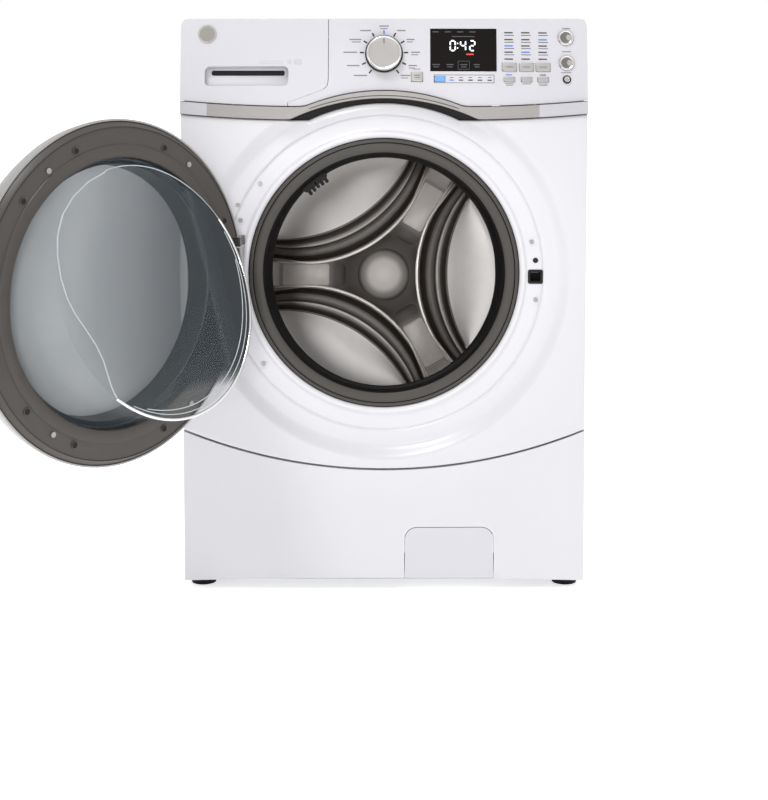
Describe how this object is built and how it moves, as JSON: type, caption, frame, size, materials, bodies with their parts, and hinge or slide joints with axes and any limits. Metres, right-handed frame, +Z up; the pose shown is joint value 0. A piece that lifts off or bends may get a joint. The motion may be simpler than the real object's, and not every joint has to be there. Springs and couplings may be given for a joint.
{
  "type": "front load washing machine",
  "caption": "Front load washer with round door standing open, leaning console, detergent drawer, knob and buttons, tilted steel drum, belt drive and sprung tub.",
  "frame": {"origin": "on the floor, midway across the cabinet, where the four feet stand", "axes": "+X to the machine's right as seen from in front, +Y to the back, +Z up; the door stands open to -X and -Y"},
  "size_m": [0.9853, 1.2687, 1.012],
  "materials": {
    "white_enamel": "gloss, stoved enamel",
    "white_plastic": "gloss, moulded",
    "silver_paint": "satin metallic",
    "galvanised": "galvanised, dull",
    "stainless": "brushed",
    "spring_steel": "drawn wire",
    "chrome": "polished",
    "cast_aluminium": "as cast",
    "grey_rubber": "matte",
    "black_rubber": "matte",
    "warm_grey_plastic": "fine grain",
    "black_plastic": "fine grain",
    "black_glass": "gloss",
    "tub_plastic": "moulded",
    "pale_plastic": "moulded",
    "smoked_glass": "polished",
    "window_plastic": "smoked",
    "concrete": "rough",
    "motor_black": "coated",
    "silver_plastic": "satin metallic",
    "blue_plastic": "satin",
    "circuit_green": "lacquered"
  },
  "bodies": {
    "cabinet": {"cabinet_shell": "white_enamel", "top_panel": "white_enamel", "rear_panel": "galvanised", "base_frame": "galvanised", "leveling_feet": "black_rubber", "front_panel": "white_enamel", "lower_panel": "white_enamel", "console_fascia": "white_plastic", "trim_band": "silver_paint", "display_window": "black_glass", "control_board": "circuit_green", "dispenser_housing": "pale_plastic", "inlet_valves": "pale_plastic", "cord_gland": "black_plastic", "door_lock": "black_plastic", "hinge_bracket": "chrome", "door_gasket": "grey_rubber", "drain_pump": "pale_plastic", "water_hoses": "black_rubber", "suspension_springs": "spring_steel", "damper_cylinders": "black_plastic", "panel_screws": "chrome", "bellows_hoses": "black_rubber"},
    "tub": {"tub_front": "tub_plastic", "tub_rear": "tub_plastic", "counterweights": "concrete", "drum_bearings": "spring_steel", "motor_housing": "motor_black", "damper_rods": "spring_steel", "drive_belt": "black_rubber"},
    "drum": {"drum_shell": "stainless", "drum_back": "stainless", "drum_baffles": "pale_plastic", "drum_spider": "cast_aluminium", "drum_pulley": "cast_aluminium"},
    "motor": {"motor_rotor": "spring_steel"},
    "door": {"door_shell": "silver_paint", "door_ring": "warm_grey_plastic", "door_window": "window_plastic", "door_glass": "smoked_glass", "hinge_leaf": "chrome", "door_hook": "white_plastic", "door_screws": "chrome"},
    "drawer": {"drawer_front": "white_plastic", "drawer_tray": "pale_plastic"},
    "flap": {"service_flap": "white_plastic"},
    "filter": {"filter_cap": "warm_grey_plastic"},
    "knob": {"knob_skirt": "black_plastic", "knob_cap": "silver_plastic"},
    "power": {"power_button": "silver_plastic"},
    "start": {"start_button": "silver_plastic"},
    "add_garment": {"add_garment_button": "silver_plastic"},
    "soil": {"soil_button": "silver_plastic"},
    "temperature": {"temperature_button": "silver_plastic"},
    "spin": {"spin_button": "silver_plastic"},
    "delay": {"delay_button": "silver_plastic"},
    "steam": {"steam_button": "silver_plastic"},
    "rinse": {"rinse_button": "silver_plastic"},
    "prewash": {"prewash_button": "silver_plastic"},
    "boost": {"boost_button": "blue_plastic"}
  },
  "joints": [
    {"name": "door_hinge", "type": "hinge", "parent": "cabinet", "child": "door", "pos_m": [-0.268, -0.415, 0.565], "axis": [0, 0, 1], "range_deg": [0, 130]},
    {"name": "drawer_slide", "type": "slide", "parent": "cabinet", "child": "drawer", "axis": [0, -1, 0], "range_m": [0, 0.2]},
    {"name": "selector_knob", "type": "hinge", "parent": "cabinet", "child": "knob", "pos_m": [0, -0.38031, 0.95], "axis": [0, -0.9816, 0.1908], "continuous": true},
    {"name": "tub_bounce", "type": "slide", "parent": "cabinet", "child": "tub", "axis": [0, 0, 1], "range_m": [-0.01, 0.01], "stiffness_N_per_m": 9000, "springref_m": 0.06369, "deforming": ["suspension_springs", "bellows_hoses", "door_gasket"]},
    {"name": "drum_spin", "type": "hinge", "parent": "tub", "child": "drum", "pos_m": [0, -0.312, 0.565], "axis": [0, 0.989, -0.1478], "continuous": true},
    {"name": "motor_spin", "type": "hinge", "parent": "tub", "child": "motor", "pos_m": [0, -0.36551, 0.20698], "axis": [0, 0.989, -0.1478], "continuous": true},
    {"name": "flap_hinge", "type": "hinge", "parent": "cabinet", "child": "flap", "pos_m": [0.1155, -0.3915, 0.03], "axis": [1, 0, 0], "range_deg": [0, 90]},
    {"name": "filter_turn", "type": "hinge", "parent": "cabinet", "child": "filter", "pos_m": [0.115, -0.3565, 0.082], "axis": [0, -1, 0], "range_deg": [0, 90]},
    {"name": "power_press", "type": "slide", "parent": "cabinet", "child": "power", "axis": [0, 0.9816, -0.1908], "range_m": [0, 0.0012], "stiffness_N_per_m": 900, "springref_m": -0.0004},
    {"name": "start_press", "type": "slide", "parent": "cabinet", "child": "start", "axis": [0, 0.9816, -0.1908], "range_m": [0, 0.0012], "stiffness_N_per_m": 900, "springref_m": -0.0004},
    {"name": "add_garment_press", "type": "slide", "parent": "cabinet", "child": "add_garment", "axis": [0, 0.9816, -0.1908], "range_m": [0, 0.0012], "stiffness_N_per_m": 900, "springref_m": -0.0004},
    {"name": "soil_press", "type": "slide", "parent": "cabinet", "child": "soil", "axis": [0, 0.9816, -0.1908], "range_m": [0, 0.0012], "stiffness_N_per_m": 900, "springref_m": -0.0004},
    {"name": "temperature_press", "type": "slide", "parent": "cabinet", "child": "temperature", "axis": [0, 0.9816, -0.1908], "range_m": [0, 0.0012], "stiffness_N_per_m": 900, "springref_m": -0.0004},
    {"name": "spin_press", "type": "slide", "parent": "cabinet", "child": "spin", "axis": [0, 0.9816, -0.1908], "range_m": [0, 0.0012], "stiffness_N_per_m": 900, "springref_m": -0.0004},
    {"name": "delay_press", "type": "slide", "parent": "cabinet", "child": "delay", "axis": [0, 0.9816, -0.1908], "range_m": [0, 0.0012], "stiffness_N_per_m": 900, "springref_m": -0.0004},
    {"name": "steam_press", "type": "slide", "parent": "cabinet", "child": "steam", "axis": [0, 0.9816, -0.1908], "range_m": [0, 0.0012], "stiffness_N_per_m": 900, "springref_m": -0.0004},
    {"name": "rinse_press", "type": "slide", "parent": "cabinet", "child": "rinse", "axis": [0, 0.9816, -0.1908], "range_m": [0, 0.0012], "stiffness_N_per_m": 900, "springref_m": -0.0004},
    {"name": "prewash_press", "type": "slide", "parent": "cabinet", "child": "prewash", "axis": [0, 0.9816, -0.1908], "range_m": [0, 0.0012], "stiffness_N_per_m": 900, "springref_m": -0.0004},
    {"name": "boost_press", "type": "slide", "parent": "cabinet", "child": "boost", "axis": [0, 0.9816, -0.1908], "range_m": [0, 0.0012], "stiffness_N_per_m": 900, "springref_m": -0.0004}
  ],
  "couplings": [
    {"joint": "motor_spin", "follows": "drum_spin", "ratio": 12.5}
  ]
}
